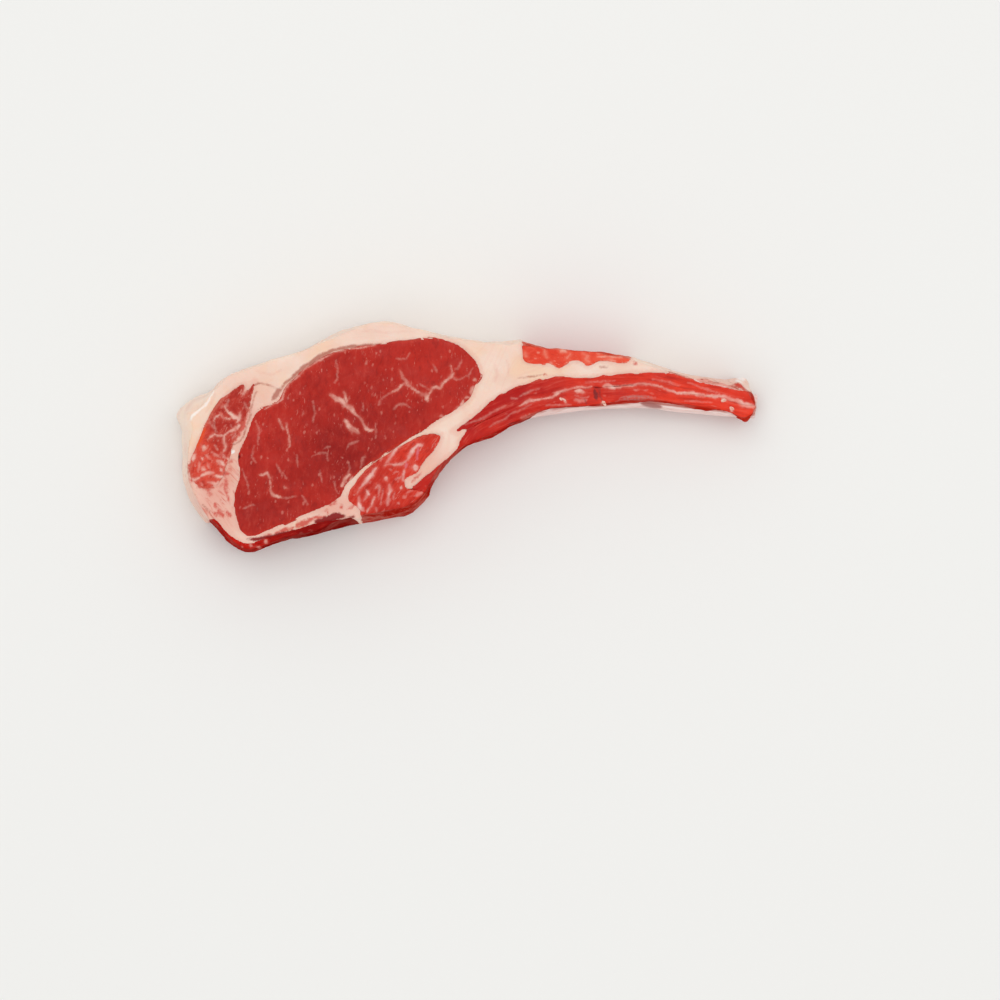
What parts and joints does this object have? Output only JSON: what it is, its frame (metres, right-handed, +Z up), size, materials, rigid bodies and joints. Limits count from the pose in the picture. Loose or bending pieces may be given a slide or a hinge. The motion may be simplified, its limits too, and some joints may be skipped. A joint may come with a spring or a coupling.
{
  "type": "raw lamb rib chop",
  "caption": "Raw lamb rib chop with a round eye of lean, a fat cover, a cap muscle and a long rib handle sheathed in layered meat, lying flat.",
  "frame": {"origin": "centre of the chop's bounding box, on the flat face that it lies on", "axes": "+X along the chop from the fat end to the rib tip, +Y towards the back-fat side, +Z up, across the cut"},
  "size_m": [0.1463, 0.0582, 0.02],
  "materials": {
    "lean_meat": "moist raw lean meat with fine fibre and pale marbling",
    "marbled_meat": "moist raw meat streaked with fat and sinew",
    "rib_meat": "moist bright red layered meat",
    "fat": "waxy cream-pink fat, slightly translucent",
    "bone": "bone under a smooth greyish-pink membrane, sawn end"
  },
  "bodies": {
    "root": {"eye_muscle": "lean_meat", "cap_muscle": "marbled_meat", "rib_side_muscle": "marbled_meat", "outer_rib_meat": "rib_meat", "inner_rib_meat": "rib_meat", "handle_strip": "rib_meat", "chine_strip": "rib_meat", "fat_cover": "fat", "rib_bone": "bone"}
  },
  "joints": []
}
